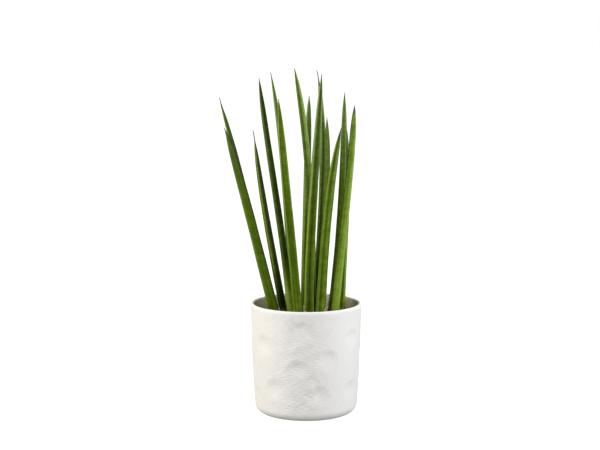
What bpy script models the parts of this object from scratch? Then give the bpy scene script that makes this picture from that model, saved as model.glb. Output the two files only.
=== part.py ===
"""A cylindrical snake plant growing in a dimpled ceramic pot.

Units are metres and +Z is up. The origin is the centre of the pot's flat underside, and -Y is the front.
Every separate piece is an object of its own: the pot, the soil, fifteen spear leaves, the rhizomes that the
leaves grow from, and the dry sheaths at the leaf bases. Pieces that meet keep a small gap.
"""
import bmesh
import bpy
import math
from mathutils import Vector

# Driving dimensions
POT_HEIGHT = 0.135
RIM_RADIUS = 0.0675
BASE_RADIUS = 0.0627        # outside of the wall where the bottom edge starts to round
EDGE_ROUND = 0.0115         # radius of the rounded bottom edge
LIP_HEIGHT = 0.0040         # height of the slightly flared lip
LIP_FLARE = 0.0003          # how far the lip stands proud of the wall
RIM_WALL = 0.0040           # thickness at the rim
WALL = 0.0052               # thickness lower down
FLOOR = 0.008               # thickness of the pot's floor
FLOOR_ROUND = 0.010         # radius of the inside corner
DIMPLE_DEPTH = 0.0013
SOIL_EDGE = 0.1130          # height of the soil along the wall
SOIL_CROWN = 0.0035         # how much higher the soil is in the middle
ROOT_HEIGHT = 0.102         # where the leaves leave the rhizomes
RHIZOME_RADIUS = 0.0045
SHEATH_WALL = 0.0008
GAP = 0.0003                # between pieces that meet

# Fineness
AROUND_POT = 60
LEAF_SIDES = 10
POCKET_SIDES = 16
LEAF_RINGS = 12
RHIZOME_SIDES = 8

MM = 0.001

# One spear leaf a line: root x and y at ROOT_HEIGHT, tip x, y and z, bow and swerve, thickness at the
# soil and length of the point, all in millimetres. A bow is one sideways arc, and a swerve is an S over
# the leaf's length. Over about the length of its point, a leaf tapers to nothing.
LEAVES = {
    "leaf_01": (-33.0, 6.0, -106.0, 24.0, 383.5, 0.0, -1.3, 10.3, 34),
    "leaf_02": (-33.0, -8.0, -96.2, -28.0, 349.5, 1.3, -0.4, 13.4, 22),
    "leaf_03": (-24.0, 12.0, -64.0, 18.0, 344.0, -2.2, 0.4, 9.9, 32),
    "leaf_04": (-17.0, 4.0, -56.4, -4.0, 407.5, 1.7, 1.0, 9.5, 21),
    "leaf_05": (-11.5, 20.0, -43.3, 35.0, 413.5, 2.9, -1.6, 9.1, 30),
    "leaf_06": (-8.5, -7.0, -32.9, -20.0, 383.5, 0.1, 0.4, 11.7, 25),
    "leaf_07": (8.0, 1.0, -14.1, -12.0, 420.0, 7.8, -1.2, 10.2, 20),
    "leaf_08": (-2.0, 12.0, 3.8, 28.0, 385.0, -0.4, 0.0, 10.5, 17),
    "leaf_09": (11.7, 20.0, 13.6, 22.0, 416.5, 6.9, -1.8, 9.7, 26),
    "leaf_10": (4.0, -18.0, 18.3, -24.0, 413.0, -3.3, -0.9, 11.9, 30),
    "leaf_11": (17.0, 8.0, 25.2, 12.0, 360.0, 2.0, -0.6, 10.1, 19),
    "leaf_12": (16.2, -12.0, 41.2, -30.0, 349.5, -4.8, 0.7, 12.6, 24),
    "leaf_13": (28.8, 10.0, 46.4, 16.0, 390.0, 4.8, 0.2, 9.9, 23),
    "leaf_14": (33.4, -8.0, 57.3, -22.0, 376.5, 1.1, -0.9, 10.5, 15),
    "leaf_15": (42.9, 20.0, 49.3, 32.0, 348.0, 2.0, -1.0, 10.1, 22),
}
SWERVE_SCALE = 10.4         # brings the greatest value of t(1-t)(1-2t) to about one
TIP_SLIMNESS = 0.75         # thickness below the point, as a share of the thickness at the soil
CHANNEL_DEPTH = 0.16        # depth of the groove up a leaf's inner face, as a share of its radius
CHANNEL_WIDTH = 0.45        # half width of that groove, in radians

# Leaves that grow from one rhizome. The last one's rhizome runs on towards the wall.
SHOOTS = [
    ("leaf_01", "leaf_02"),
    ("leaf_03", "leaf_05"),
    ("leaf_04", "leaf_06"),
    ("leaf_08", "leaf_07"),
    ("leaf_10", "leaf_12"),
    ("leaf_09", "leaf_11"),
    ("leaf_13", "leaf_15"),
    ("leaf_14", None),
]
RUNNER_REACH = 1.3          # end of a runner, as a multiple of its leaf's distance from the middle

# Dry sheaths: the leaf each one wraps, the direction it faces in degrees from +X, and its top in millimetres
SHEATHS = {
    "sheath_1": ("leaf_01", 150, 124.0),
    "sheath_2": ("leaf_02", 345, 131.0),
    "sheath_3": ("leaf_06", 230, 125.5),
    "sheath_4": ("leaf_08", 110, 124.0),
    "sheath_5": ("leaf_10", 195, 135.0),
    "sheath_6": ("leaf_12", 345, 134.0),
    "sheath_7": ("leaf_14", 300, 126.5),
    "sheath_8": ("leaf_15", 10, 125.0),
}
SHEATH_BOTTOM = 0.106
SHEATH_GAP = 0.0005         # between a sheath and its leaf
SHEATH_WRAP = 70            # half of the angle that a sheath covers at its foot, in degrees
SHEATH_POINT = 14           # the same at its top

# Shallow thumb-pressed dimples: degrees from the front towards +X, height and radius in millimetres
DIMPLES = [
    (-50, 88, 17), (-6, 108, 17), (22, 74, 18), (56, 96, 16), (-9, 62, 15), (-36, 36, 17), (14, 31, 16),
    (57, 32, 16), (88, 64, 16), (97, 104, 15), (101, 25, 14), (128, 82, 17), (136, 39, 16), (160, 105, 15),
    (168, 66, 16), (177, 28, 16), (-158, 90, 17), (-145, 47, 16), (-124, 103, 15), (-116, 68, 16),
    (-106, 29, 16), (-88, 98, 16), (-78, 58, 15), (-68, 24, 13), (6, 48, 10),
]

# Colour, roughness and metallic value of each material
FINISHES = {
    "matte_ceramic": ((0.84, 0.83, 0.80, 1.0), 0.65, 0.0),
    "potting_soil": ((0.055, 0.036, 0.022, 1.0), 0.95, 0.0),
    "leaf": ((0.060, 0.160, 0.022, 1.0), 0.45, 0.0),
    "rhizome": ((0.62, 0.42, 0.16, 1.0), 0.60, 0.0),
    "dry_sheath": ((0.42, 0.28, 0.14, 1.0), 0.80, 0.0),
}


def clear_scene():
    for old in list(bpy.data.objects):
        bpy.data.objects.remove(old)


def make_material(name):
    colour, roughness, metallic = FINISHES[name]
    material = bpy.data.materials.new(name)
    material.use_nodes = True
    shader = material.node_tree.nodes["Principled BSDF"]
    shader.inputs["Base Color"].default_value = colour
    shader.inputs["Roughness"].default_value = roughness
    shader.inputs["Metallic"].default_value = metallic
    material.diffuse_color = colour
    return material


def link_object(name, mesh, material, parent):
    """Puts a finished mesh into the scene as one smooth-shaded piece."""
    mesh.shade_smooth()
    mesh.set_sharp_from_angle(angle=math.radians(40))
    piece = bpy.data.objects.new(name, mesh)
    piece.data.materials.append(material)
    piece.parent = parent
    bpy.context.scene.collection.objects.link(piece)
    return piece


def closed_skin(name, rings, low_pole, high_pole):
    """A closed mesh through a stack of level rings of points, with a pole closing each end."""
    bm = bmesh.new()
    loops = [[bm.verts.new(point) for point in ring] for ring in rings]
    for low, high in zip(loops, loops[1:]):
        for i in range(len(low)):
            j = (i + 1) % len(low)
            bm.faces.new((low[i], low[j], high[j], high[i]))
    for loop, pole in ((loops[0], low_pole), (loops[-1], high_pole)):
        centre = bm.verts.new(pole)
        for i in range(len(loop)):
            bm.faces.new((loop[i], loop[(i + 1) % len(loop)], centre))
    bmesh.ops.recalc_face_normals(bm, faces=bm.faces[:])
    mesh = bpy.data.meshes.new(name)
    bm.to_mesh(mesh)
    bm.free()
    return mesh


def ring_of_points(radius, height, sides=AROUND_POT, centre=(0.0, 0.0)):
    """Points on a level circle. The radius is a number, or a function of the angle in radians."""
    points = []
    for i in range(sides):
        angle = 2 * math.pi * i / sides
        r = radius(angle) if callable(radius) else radius
        points.append(Vector((centre[0] + r * math.cos(angle), centre[1] + r * math.sin(angle), height)))
    return points


def quarter_round(radius, height, size, start, steps):
    """Points on a quarter circle about (radius, height), from the angle start in degrees."""
    turn = [math.radians(start + 90 * k / steps) for k in range(steps + 1)]
    return [(radius + size * math.cos(a), height + size * math.sin(a)) for a in turn]


def wall_radius(height):
    """Outside of the plain wall: a slow flare from the rounded bottom edge up to just below the lip."""
    share = (height - EDGE_ROUND) / (POT_HEIGHT - LIP_HEIGHT - EDGE_ROUND)
    share = min(max(share, 0.0), 1.0)
    under_lip = RIM_RADIUS - LIP_FLARE
    return BASE_RADIUS + (under_lip - BASE_RADIUS) * math.sin(share * math.pi / 2) ** 0.9


def inner_radius(height):
    """Inside of the wall, which thickens downwards."""
    share = min(max((POT_HEIGHT - height) / (POT_HEIGHT * 0.35), 0.0), 1.0)
    return wall_radius(height) + LIP_FLARE * (1 - share) - (RIM_WALL + (WALL - RIM_WALL) * share)


def dimple_depth(angle, height):
    """How far the dimples press the wall in at an angle about +Z from +X, and a height."""
    depth = 0.0
    for turn, middle, size in DIMPLES:
        away = angle - math.radians(turn - 90)
        away = (away + math.pi) % (2 * math.pi) - math.pi
        distance = math.hypot(away * BASE_RADIUS, height - middle * MM) / (size * MM)
        if distance < 1:
            depth += DIMPLE_DEPTH * (1 - distance ** 2) ** 2
    return depth


def make_pot(material, parent):
    edge = quarter_round(BASE_RADIUS - EDGE_ROUND, EDGE_ROUND, EDGE_ROUND, -90, 5)
    rings = [ring_of_points(r, h) for r, h in edge]
    wall_rows = 15
    top_of_wall = POT_HEIGHT - LIP_HEIGHT
    for row in range(1, wall_rows + 1):
        height = EDGE_ROUND + (top_of_wall - EDGE_ROUND) * row / wall_rows
        rings.append(ring_of_points(lambda a, h=height: wall_radius(h) - dimple_depth(a, h), height))
    half_wall = RIM_WALL / 2
    rings.append(ring_of_points(RIM_RADIUS, POT_HEIGHT - half_wall))
    rings.append(ring_of_points(RIM_RADIUS - half_wall * 0.6, POT_HEIGHT))
    rings.append(ring_of_points(RIM_RADIUS - half_wall * 1.4, POT_HEIGHT))
    for height in (POT_HEIGHT - half_wall, POT_HEIGHT - 0.012, POT_HEIGHT - 0.030, POT_HEIGHT - 0.060):
        rings.append(ring_of_points(inner_radius(height), height))
    floor_edge = inner_radius(FLOOR + FLOOR_ROUND) - FLOOR_ROUND
    corner = quarter_round(floor_edge, FLOOR + FLOOR_ROUND, FLOOR_ROUND, -90, 3)
    rings += [ring_of_points(r, h) for r, h in reversed(corner)]
    mesh = closed_skin("ceramic_pot", rings, (0, 0, 0), (0, 0, FLOOR))
    return link_object("ceramic_pot", mesh, material, parent)


def make_soil(material, parent):
    """The root ball: it fills the pot to a low dome, a gap inside the wall and above the floor."""
    bottom = FLOOR + GAP
    floor_edge = inner_radius(FLOOR + FLOOR_ROUND) - FLOOR_ROUND
    corner = quarter_round(floor_edge, FLOOR + FLOOR_ROUND, FLOOR_ROUND - GAP, -90, 3)
    rings = [ring_of_points(r, h) for r, h in corner]
    for height in (POT_HEIGHT - 0.060, POT_HEIGHT - 0.030):
        rings.append(ring_of_points(inner_radius(height) - GAP, height))
    edge_radius = inner_radius(SOIL_EDGE) - GAP
    for share in (1.0, 0.96, 0.80, 0.55):
        height = SOIL_EDGE + SOIL_CROWN * (1 - share ** 2)
        rings.append(ring_of_points(edge_radius * share, height))
    top = (0, 0, SOIL_EDGE + SOIL_CROWN)
    mesh = closed_skin("potting_soil", rings, (0, 0, bottom), top)
    return link_object("potting_soil", mesh, material, parent)


def leaf_point(leaf, height):
    """Centre of a leaf at a height: straight from root to tip, plus a parabola for its bow and a cubic that
    is zero at both ends and in the middle for its swerve, each reaching its stated value."""
    root_x, root_y, tip_x, tip_y, tip_z, bow, swerve = [value * MM for value in LEAVES[leaf][:7]]
    t = (height - ROOT_HEIGHT) / (tip_z - ROOT_HEIGHT)
    x = root_x + (tip_x - root_x) * t
    x += 4 * bow * t * (1 - t) + SWERVE_SCALE * swerve * t * (1 - t) * (1 - 2 * t)
    y = root_y + (tip_y - root_y) * t
    return Vector((x, y, height))


def leaf_radius(leaf, height):
    """Half a leaf's thickness: slowly less towards the tip, and over the last stretch down to a point."""
    tip_z = LEAVES[leaf][4] * MM
    thickness, point_length = [value * MM for value in LEAVES[leaf][7:]]
    left = max(tip_z - height, 0.0)
    share = left / (tip_z - ROOT_HEIGHT)
    slim = TIP_SLIMNESS + (1 - TIP_SLIMNESS) * share
    return thickness / 2 * slim * (1 - math.exp(-left / point_length))


def leaf_ring(leaf, height, channel):
    """A level cross-section: a circle with a groove on the side that faces the middle of the plant."""
    centre = leaf_point(leaf, height)
    inwards = math.atan2(-centre.y, -centre.x)

    def radius(angle):
        away = (angle - inwards + math.pi) % (2 * math.pi) - math.pi
        return leaf_radius(leaf, height) * (1 - channel * math.exp(-(away / CHANNEL_WIDTH) ** 2))

    return ring_of_points(radius, height, LEAF_SIDES, centre)


def make_leaf(leaf, material, parent):
    """A spear leaf through rings that crowd towards the tip."""
    tip_z = LEAVES[leaf][4] * MM
    crowding = 1.7
    last_ring = 0.004
    rings = []
    for k in range(LEAF_RINGS):
        left = last_ring + (tip_z - ROOT_HEIGHT - last_ring) * (1 - k / (LEAF_RINGS - 1)) ** crowding
        rings.append(leaf_ring(leaf, tip_z - left, CHANNEL_DEPTH))
    mesh = closed_skin(leaf, rings, leaf_point(leaf, ROOT_HEIGHT), leaf_point(leaf, tip_z))
    return link_object(leaf, mesh, material, parent)


def capsule_mesh(name, start, end, radius):
    """A level rod with round ends between two points."""
    along = (end - start).normalized()
    across = along.cross(Vector((0, 0, 1)))
    up = across.cross(along)
    cap_steps = 2
    stations = []
    for k in range(cap_steps, 0, -1):
        turn = math.radians(90 * k / (cap_steps + 1))
        stations.append((start - along * radius * math.sin(turn), radius * math.cos(turn)))
    stations += [(start, radius), (end, radius)]
    for k in range(1, cap_steps + 1):
        turn = math.radians(90 * k / (cap_steps + 1))
        stations.append((end + along * radius * math.sin(turn), radius * math.cos(turn)))
    rings = []
    for centre, size in stations:
        turns = [2 * math.pi * i / RHIZOME_SIDES for i in range(RHIZOME_SIDES)]
        rings.append([centre + size * (across * math.cos(a) + up * math.sin(a)) for a in turns])
    return closed_skin(name, rings, start - along * radius, end + along * radius)


def rhizome_line(shoot):
    """The two ends of a rhizome's axis, under the feet of its leaves."""
    height = ROOT_HEIGHT - GAP - RHIZOME_RADIUS
    feet = [leaf_point(leaf, ROOT_HEIGHT) for leaf in shoot if leaf]
    start = Vector((feet[0].x, feet[0].y, height))
    end = feet[1] if len(feet) > 1 else feet[0] * RUNNER_REACH
    return start, Vector((end.x, end.y, height))


def make_sheath(name, material, parent):
    """A thin pointed scale that wraps part of a leaf's foot: a curved sheet given a wall by Solidify."""
    leaf, facing, top = SHEATHS[name]
    rows, columns = 4, 6
    bm = bmesh.new()
    grid = []
    for row in range(rows + 1):
        share = row / rows
        height = SHEATH_BOTTOM + (top * MM - SHEATH_BOTTOM) * share
        centre = leaf_point(leaf, height)
        radius = leaf_radius(leaf, height) + SHEATH_GAP
        half = SHEATH_POINT + (SHEATH_WRAP - SHEATH_POINT) * math.sqrt(1 - share ** 2)
        turns = [math.radians(facing + half * (2 * i / columns - 1)) for i in range(columns + 1)]
        grid.append([bm.verts.new(centre + radius * Vector((math.cos(a), math.sin(a), 0))) for a in turns])
    for low, high in zip(grid, grid[1:]):
        for i in range(columns):
            bm.faces.new((low[i], low[i + 1], high[i + 1], high[i]))
    mesh = bpy.data.meshes.new(name)
    bm.to_mesh(mesh)
    bm.free()
    piece = link_object(name, mesh, material, parent)
    wall = piece.modifiers.new("wall", "SOLIDIFY")
    wall.thickness = SHEATH_WALL
    wall.offset = 1.0
    return piece


def add_cutter(mesh, collection):
    cutter = bpy.data.objects.new(mesh.name, mesh)
    cutter.hide_render = True
    cutter.display_type = "WIRE"
    collection.objects.link(cutter)


def plant_in_soil(soil):
    """Cuts a pocket in the soil for every leaf foot, with its sheath, and for every rhizome."""
    pockets = bpy.data.collections.new("pockets")
    bpy.context.scene.collection.children.link(pockets)
    sheathed = {leaf for leaf, _, _ in SHEATHS.values()}
    pocket_floor = ROOT_HEIGHT - 0.002
    pocket_top = SOIL_EDGE + SOIL_CROWN + 0.010
    for leaf in LEAVES:
        room = SHEATH_GAP + SHEATH_WALL + GAP if leaf in sheathed else GAP
        rings = []
        for height in (pocket_floor, pocket_top):
            radius = leaf_radius(leaf, height) + room
            rings.append(ring_of_points(radius, height, POCKET_SIDES, leaf_point(leaf, height)))
        ends = [leaf_point(leaf, height) for height in (pocket_floor, pocket_top)]
        add_cutter(closed_skin("pocket_" + leaf, rings, *ends), pockets)
    for number, shoot in enumerate(SHOOTS, 1):
        start, end = rhizome_line(shoot)
        add_cutter(capsule_mesh(f"pocket_rhizome_{number}", start, end, RHIZOME_RADIUS + GAP), pockets)
    cut = soil.modifiers.new("pockets", "BOOLEAN")
    cut.operation = "DIFFERENCE"
    cut.solver = "EXACT"
    cut.operand_type = "COLLECTION"
    cut.collection = pockets


def main():
    clear_scene()
    materials = {name: make_material(name) for name in FINISHES}
    plant = bpy.data.objects.new("potted_plant", None)
    bpy.context.scene.collection.objects.link(plant)
    make_pot(materials["matte_ceramic"], plant)
    soil = make_soil(materials["potting_soil"], plant)
    for leaf in LEAVES:
        make_leaf(leaf, materials["leaf"], plant)
    for number, shoot in enumerate(SHOOTS, 1):
        start, end = rhizome_line(shoot)
        name = f"rhizome_{number}"
        link_object(name, capsule_mesh(name, start, end, RHIZOME_RADIUS), materials["rhizome"], plant)
    for name in SHEATHS:
        make_sheath(name, materials["dry_sheath"], plant)
    plant_in_soil(soil)


main()
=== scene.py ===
# %% [markdown]
# # A potted cylindrical snake plant
#
# This notebook dresses a plain construction model of a pot plant: a straight ceramic pot with pressed
# dimples, soil, fifteen spear leaves, the rhizomes they grow from and the dry sheaths at their feet.
# Every shape is a sheet of points worked out with numpy, and every finish is a small graph of shader
# nodes.
#
# Lengths are metres, +Z is up, the pot stands on z = 0 with its middle at the origin, and -Y is its
# front.

# %% Load the construction model
import math

import bmesh
import bpy
import numpy as np
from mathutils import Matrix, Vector


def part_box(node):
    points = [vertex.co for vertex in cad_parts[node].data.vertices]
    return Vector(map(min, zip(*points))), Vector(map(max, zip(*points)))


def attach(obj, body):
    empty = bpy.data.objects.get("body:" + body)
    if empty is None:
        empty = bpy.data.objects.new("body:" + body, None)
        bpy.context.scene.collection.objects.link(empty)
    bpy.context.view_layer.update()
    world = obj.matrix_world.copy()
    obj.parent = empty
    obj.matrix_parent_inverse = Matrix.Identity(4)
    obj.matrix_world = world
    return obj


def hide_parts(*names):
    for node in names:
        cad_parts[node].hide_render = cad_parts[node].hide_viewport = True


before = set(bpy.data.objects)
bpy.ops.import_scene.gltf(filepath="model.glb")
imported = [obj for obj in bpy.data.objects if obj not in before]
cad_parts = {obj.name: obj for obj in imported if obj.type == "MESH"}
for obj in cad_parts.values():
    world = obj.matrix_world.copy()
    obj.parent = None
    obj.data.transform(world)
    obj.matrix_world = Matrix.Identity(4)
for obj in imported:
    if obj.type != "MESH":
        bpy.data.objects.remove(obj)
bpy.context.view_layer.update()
MM = 0.001
POT_LOW, POT_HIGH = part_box("ceramic_pot")
SOIL_LOW, SOIL_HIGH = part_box("potting_soil")

# %% [markdown]
# ## From a sheet of points to a mesh
#
# Most of the plant is made of closed tubes: rows of points that run round a middle line. A curve with a
# bevel gives a tube too, but its outline can't change on the way up, so the points are worked out here
# instead. The helper takes the rows as one array, joins them with four-sided faces and closes both ends
# with a fan of triangles. Numbers that the finishes need, such as the distance to a leaf's tip, are
# stored by name.

# %% Pieces and tubes
def add_piece(name, points, faces, material, values=None, smooth=True):
    """One object at the origin from an array of points and a list of faces. values are numbers or vectors
    stored on the points under their names."""
    mesh = bpy.data.meshes.new(name)
    mesh.from_pydata(points.reshape(-1, 3), [], faces)
    for key, numbers in (values or {}).items():
        vector = numbers.ndim > 1 and numbers.shape[-1] == 3
        store = mesh.attributes.new(key, "FLOAT_VECTOR" if vector else "FLOAT", "POINT")
        store.data.foreach_set("vector" if vector else "value", numbers.astype(np.float32).ravel())
    mesh.materials.append(material)
    if smooth:
        mesh.shade_smooth()
    piece = bpy.data.objects.new(name, mesh)
    bpy.context.scene.collection.objects.link(piece)
    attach(piece, "root")
    return piece


def tube_faces(rows, columns):
    """Faces of a closed tube: point (row, column) joins its neighbours, the last column joins the first,
    and two extra points after the grid close the low and the high end."""
    row, column = np.meshgrid(np.arange(rows - 1), np.arange(columns), indexing="ij")
    after = (column + 1) % columns
    quads = np.stack([row * columns + column, row * columns + after,
                      (row + 1) * columns + after, (row + 1) * columns + column], axis=-1).reshape(-1, 4)
    ring = np.arange(columns)
    ring_after = (ring + 1) % columns
    low_pole, high_pole = rows * columns, rows * columns + 1
    low_fan = np.stack([ring_after, ring, np.full(columns, low_pole)], axis=-1)
    top = (rows - 1) * columns
    high_fan = np.stack([top + ring, top + ring_after, np.full(columns, high_pole)], axis=-1)
    return quads.tolist() + low_fan.tolist() + high_fan.tolist()


def add_tube(name, points, material, values=None, ends=None):
    """A closed tube from an array (rows, columns, 3) whose columns run anticlockwise seen from its high
    end. ends are its two end points, or the middles of its first and last rows. values are arrays on the
    grid."""
    rows, columns = points.shape[:2]
    ends = ends or (points[0].mean(axis=0), points[-1].mean(axis=0))
    stored = {}
    for key, grid in (values or {}).items():
        flat = grid.reshape(rows * columns, -1)
        closing = [grid[0].mean(axis=0).reshape(1, -1), grid[-1].mean(axis=0).reshape(1, -1)]
        stored[key] = np.concatenate([flat, *closing]).squeeze()
    solid = np.concatenate([points.reshape(-1, 3), np.array(ends, dtype=float)])
    return add_piece(name, solid, tube_faces(rows, columns), material, stored)


print("a square tube of two rows has", len(tube_faces(2, 4)), "faces")

# %% [markdown]
# Nothing that grows or is cast by hand is even. `grain` makes the unevenness as one sheet of numbers,
# which can be wrapped round a pot or a stem without a seam. A Displace modifier with a noise texture is
# the usual way, but it can't leave out the waves that are too long or too short. `ease` blends one thing
# into the next.

# %% Uneven surfaces
def grain(shape, size, shortest, longest, stretch, seed):
    """Even-sized bumps that repeat without a seam: random numbers with only the waves between two lengths
    kept, by a bell curve over the logarithm of the wavelength. stretch draws the bumps out along the
    columns. The result has a spread of one."""
    white = np.random.default_rng(seed).standard_normal(shape)
    up = np.fft.fftfreq(shape[0], size[0] / shape[0])[:, None]
    along = np.fft.fftfreq(shape[1], size[1] / shape[1])[None, :] * stretch
    wave = np.hypot(up, along) + 1e-9
    middle, width = math.sqrt(shortest * longest), math.log(longest / shortest) / 2
    keep = np.exp(-(np.log(wave * middle) / width) ** 2)
    relief = np.fft.ifft2(np.fft.fft2(white) * keep).real
    return relief / relief.std()


def ease(low, high, value):
    """0 below low, 1 above high and an S-shaped rise between."""
    share = np.clip((value - low) / (high - low), 0, 1)
    return share * share * (3 - 2 * share)


print(f"halfway up, ease gives {ease(0, 1, 0.5):.2f}")

# %% [markdown]
# ## Writing finishes as sums
#
# A node graph is easier to read as arithmetic than as a list of links. `Wire` stands for one output
# socket, and adding or multiplying wires adds Math nodes.

# %% Wires
class Wire:
    """An output socket that can be used in sums."""

    def __init__(self, finish, socket):
        self.finish, self.socket = finish, socket

    def _math(self, operation, *values):
        inputs = dict(enumerate(values))
        return self.finish.node("ShaderNodeMath", {"operation": operation}, inputs)

    def __add__(self, other):
        return self._math("ADD", self, other)

    def __sub__(self, other):
        return self._math("SUBTRACT", self, other)

    def __rsub__(self, other):
        return self._math("SUBTRACT", other, self)

    def __mul__(self, other):
        return self._math("MULTIPLY", self, other)

    __radd__ = __add__
    __rmul__ = __mul__


# %% [markdown]
# `Finish` owns a material with a Principled shader. Its `node` method makes any kind of node, and the
# short ones after it make the few kinds that this plant needs again and again.

# %% Finishes
class Finish:
    """A material with a Principled shader, and a short way to add nodes to it."""

    def __init__(self, name, **constants):
        self.material = bpy.data.materials.new(name)
        self.material.use_nodes = True
        self.tree = self.material.node_tree
        self.shader = self.tree.nodes["Principled BSDF"]
        for key, value in constants.items():
            self.socket(key).default_value = value

    def socket(self, key):
        """The shader's input whose name is key with spaces and capitals, such as base_color."""
        return self.shader.inputs[key.replace("_", " ").title().replace("Ior", "IOR")]

    def node(self, kind, settings=None, inputs=None, output=0):
        """Adds a node, sets its properties, then sets or links its inputs, and gives one output."""
        made = self.tree.nodes.new(kind)
        for key, value in (settings or {}).items():
            if key == "stops":
                self._stops(made.color_ramp, value)
            else:
                setattr(made, key, value)
        for key, value in (inputs or {}).items():
            if isinstance(value, Wire):
                self.tree.links.new(value.socket, made.inputs[key])
            else:
                made.inputs[key].default_value = value
        return Wire(self, made.outputs[output])

    @staticmethod
    def _stops(ramp, stops):
        while len(ramp.elements) < len(stops):
            ramp.elements.new(1.0)
        for element, (place, colour) in zip(ramp.elements, stops):
            element.position = place
            element.color = (*colour, 1.0)

    def value(self, name):
        """A number stored on the points."""
        return self.node("ShaderNodeAttribute", {"attribute_name": name}, output="Fac")

    def place(self, name=None, stretch=(1, 1, 1)):
        """Object coordinates, or a vector stored on the points, stretched."""
        if name:
            source = self.node("ShaderNodeAttribute", {"attribute_name": name}, output="Vector")
        else:
            source = self.node("ShaderNodeTexCoord", output="Object")
        return self.node("ShaderNodeMapping", inputs={"Vector": source, "Scale": stretch})

    def noise(self, place, scale, detail=3.0, roughness=0.5):
        inputs = {"Vector": place, "Scale": scale, "Detail": detail, "Roughness": roughness}
        return self.node("ShaderNodeTexNoise", inputs=inputs)

    def step(self, value, low, high):
        """0 below low, 1 above high, smooth between."""
        inputs = {0: value, 1: low, 2: high, 3: 0.0, 4: 1.0}
        return self.node("ShaderNodeMapRange", {"interpolation_type": "SMOOTHSTEP"}, inputs)

    def mix(self, factor, first, second, blend="MIX"):
        """Two colours mixed. A colour is three numbers or a wire."""
        pair = [c if isinstance(c, Wire) else (*c, 1.0) for c in (first, second)]
        settings = {"data_type": "RGBA", "blend_type": blend}
        return self.node("ShaderNodeMix", settings, {0: factor, 6: pair[0], 7: pair[1]}, output=2)

    def bump(self, height, distance, strength=1.0, under=None):
        inputs = {"Height": height, "Distance": distance, "Strength": strength}
        if under:
            inputs["Normal"] = under
        return self.node("ShaderNodeBump", inputs=inputs)

    def feed(self, **wires):
        """Links wires into the shader's inputs, such as base_color or roughness."""
        for key, wire in wires.items():
            self.tree.links.new(wire.socket, self.socket(key))
        return self.material


print(len(bpy.data.materials), "materials before any finish is made")

# %% [markdown]
# ## Camera, light and floor
#
# The plant is looked at from a little above the rim with a long lens, which keeps the leaves from
# spreading as they would through a short one.

# %% The camera
bpy.context.scene.view_settings.view_transform = "Standard"
CAMERA_PLACE = (-0.0074, -1.8, 0.4653)
CAMERA_TILT = 0.130
LENS, SENSOR = 89.8, 36.0

camera = bpy.data.objects.new("camera", bpy.data.cameras.new("camera"))
camera.data.lens, camera.data.sensor_width = LENS, SENSOR
camera.location = CAMERA_PLACE
camera.rotation_euler = (math.pi / 2 - CAMERA_TILT, 0, 0)
bpy.context.scene.collection.objects.link(camera)
bpy.context.scene.camera = camera
print(f"camera {-CAMERA_PLACE[1]:.1f} m in front, tilted {math.degrees(CAMERA_TILT):.1f} degrees down")

# %% [markdown]
# Tall soft boxes stand left and right of the plant and slightly behind, the left one warmer, so that
# they draw pale edges on the leaves. A wide, high light in front fills the rest. Point lights would cast
# hard shadows.

# %% Soft boxes
def soft_box(name, place, aim, size, power, colour):
    """An area light at a place, turned to face a point."""
    light = bpy.data.lights.new(name, "AREA")
    light.shape, light.size, light.size_y = "RECTANGLE", *size
    light.energy, light.color = power, colour
    lamp = bpy.data.objects.new(name, light)
    lamp.location = place
    lamp.rotation_euler = (Vector(aim) - lamp.location).to_track_quat("-Z", "Y").to_euler()
    bpy.context.scene.collection.objects.link(lamp)


soft_box("soft_box_left", (-1.30, 0.05, 0.42), (0, 0, 0.18), (0.8, 1.3), 16.8, (1.0, 0.95, 0.83))
soft_box("soft_box_right", (1.29, 0.10, 0.36), (0, 0, 0.16), (0.8, 1.3), 14.0, (0.94, 0.985, 1.0))
soft_box("fill_front", (0.15, -1.9, 1.75), (0, 0, 0.15), (2.6, 1.6), 44.0, (1.0, 0.995, 1.0))
print(len(bpy.data.lights), "soft boxes")

# %% [markdown]
# A white sheet runs under the pot to a white sky. Both look fully white, but a sheet and a sky that
# bright would light the plant from all sides and wash out its form. So each glows less for everything
# but the camera.

# %% Sky and floor
SKY_ON_PLANT, SHEET_ON_PLANT = 0.34, 0.10
FLOOR_REACH = 30.0


def white_backdrop(tree, strength_socket, to_camera, to_object):
    """Makes a glow bright for the camera and weaker as a light on the plant."""
    path = tree.nodes.new("ShaderNodeLightPath")
    glow = tree.nodes.new("ShaderNodeMix")
    glow.inputs[2].default_value, glow.inputs[3].default_value = to_object, to_camera
    tree.links.new(path.outputs["Is Camera Ray"], glow.inputs[0])
    tree.links.new(glow.outputs[0], strength_socket)


world = bpy.data.worlds.new("studio")
world.use_nodes = True
sky = world.node_tree.nodes["Background"]
sky.inputs["Color"].default_value = (1.0, 1.0, 1.0, 1.0)
white_backdrop(world.node_tree, sky.inputs["Strength"], 1.0, SKY_ON_PLANT)
bpy.context.scene.world = world

sheet = Finish("white_sheet", base_color=(0.30, 0.30, 0.30, 1.0), roughness=0.9,
               emission_color=(1.0, 1.0, 1.0, 1.0), specular_ior_level=0.0)
white_backdrop(sheet.tree, sheet.socket("emission_strength"), 1.0, SHEET_ON_PLANT)
corners = np.array([(-1, -1, 0), (1, -1, 0), (1, 1, 0), (-1, 1, 0)]) * FLOOR_REACH
floor_mesh = bpy.data.meshes.new("floor")
floor_mesh.from_pydata(corners - (0, 0, 0.0002), [], [(0, 1, 2, 3)])
floor_mesh.materials.append(sheet.material)
floor = bpy.data.objects.new("floor", floor_mesh)
bpy.context.scene.collection.objects.link(floor)
print(f"floor {2 * FLOOR_REACH:.0f} m wide")

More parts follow.
